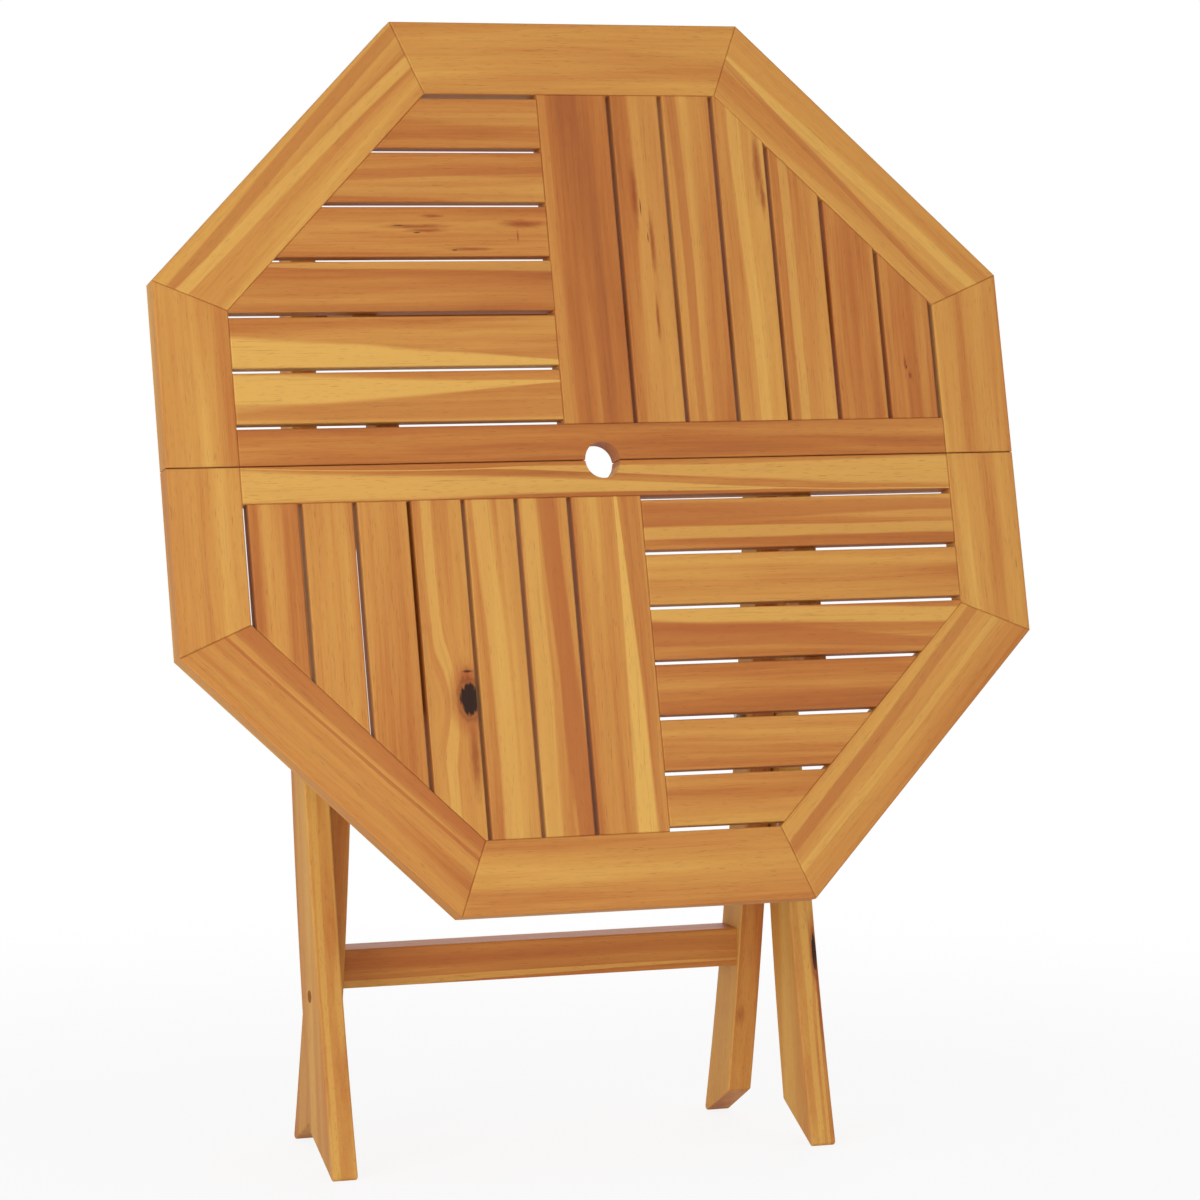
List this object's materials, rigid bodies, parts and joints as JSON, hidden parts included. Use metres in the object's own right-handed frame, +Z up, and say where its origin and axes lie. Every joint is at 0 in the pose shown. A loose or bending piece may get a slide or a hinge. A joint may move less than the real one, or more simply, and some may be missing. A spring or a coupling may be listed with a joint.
{
  "type": "folding garden table",
  "caption": "Folding garden table with an octagonal slatted wooden top, a parasol hole and crossing bowed legs; drawn nearly folded, its top tilted up in front of the legs.",
  "frame": {"origin": "on the floor, under the middle of the bounding box of the table as it stands nearly folded", "axes": "+X to the right along the seam of the top and along all the hinge axes, +Y from the front of the top to the legs behind it, +Z up"},
  "size_m": [0.85, 0.3606, 1.0913],
  "materials": {
    "top_wood": "oiled",
    "leg_wood": "oiled",
    "steel": "zinc plated",
    "plug": "matt"
  },
  "bodies": {
    "cross_pivot": {"pivot_bolts": "steel", "pivot_washers": "steel", "pivot_nuts": "steel"},
    "outer_frame": {"outer_leg_left": "leg_wood", "outer_leg_right": "leg_wood", "upper_crossbar": "leg_wood", "crossbar_dowels": "leg_wood", "outer_leg_plugs": "plug", "hinge_bolts": "steel", "hinge_washers": "steel", "hinge_nuts": "steel"},
    "inner_frame": {"inner_leg_left": "leg_wood", "inner_leg_right": "leg_wood", "lower_stretcher": "leg_wood", "stretcher_screws": "steel"},
    "tabletop": {"batten_left": "top_wood", "batten_right": "top_wood", "batten_screws": "steel", "cleat_dowels": "top_wood", "divider_back": "top_wood", "divider_front": "top_wood", "hinge_cleat_left": "top_wood", "hinge_cleat_right": "top_wood", "rail_back": "top_wood", "rail_back_left": "top_wood", "rail_back_right": "top_wood", "rail_front": "top_wood", "rail_front_left": "top_wood", "rail_front_right": "top_wood", "rail_left_back": "top_wood", "rail_left_front": "top_wood", "rail_right_back": "top_wood", "rail_right_front": "top_wood", "seam_rail_back": "top_wood", "seam_rail_front": "top_wood", "slat_back_left_1": "top_wood", "slat_back_left_2": "top_wood", "slat_back_left_3": "top_wood", "slat_back_left_4": "top_wood", "slat_back_left_5": "top_wood", "slat_back_left_6": "top_wood", "slat_back_right_1": "top_wood", "slat_back_right_2": "top_wood", "slat_back_right_3": "top_wood", "slat_back_right_4": "top_wood", "slat_back_right_5": "top_wood", "slat_back_right_6": "top_wood", "slat_front_left_1": "top_wood", "slat_front_left_2": "top_wood", "slat_front_left_3": "top_wood", "slat_front_left_4": "top_wood", "slat_front_left_5": "top_wood", "slat_front_left_6": "top_wood", "slat_front_right_1": "top_wood", "slat_front_right_2": "top_wood", "slat_front_right_3": "top_wood", "slat_front_right_4": "top_wood", "slat_front_right_5": "top_wood", "slat_front_right_6": "top_wood"}
  },
  "joints": [
    {"name": "outer_leg_swing", "type": "hinge", "parent": "cross_pivot", "child": "outer_frame", "pos_m": [0, 0.07885, 0.41575], "axis": [-1, 0, 0], "range_deg": [-4.9, 26]},
    {"name": "inner_leg_swing", "type": "hinge", "parent": "cross_pivot", "child": "inner_frame", "pos_m": [0, 0.07885, 0.41575], "axis": [1, 0, 0], "range_deg": [-5.37, 27.55]},
    {"name": "top_tilt", "type": "hinge", "parent": "outer_frame", "child": "tabletop", "pos_m": [0, 0.1054, 0.84759], "axis": [-1, 0, 0], "range_deg": [-9.57, 49.8]}
  ],
  "couplings": [
    {"joint": "inner_leg_swing", "follows": "outer_leg_swing", "ratio": 1.0556},
    {"joint": "top_tilt", "follows": "outer_leg_swing", "ratio": 1.9115}
  ]
}
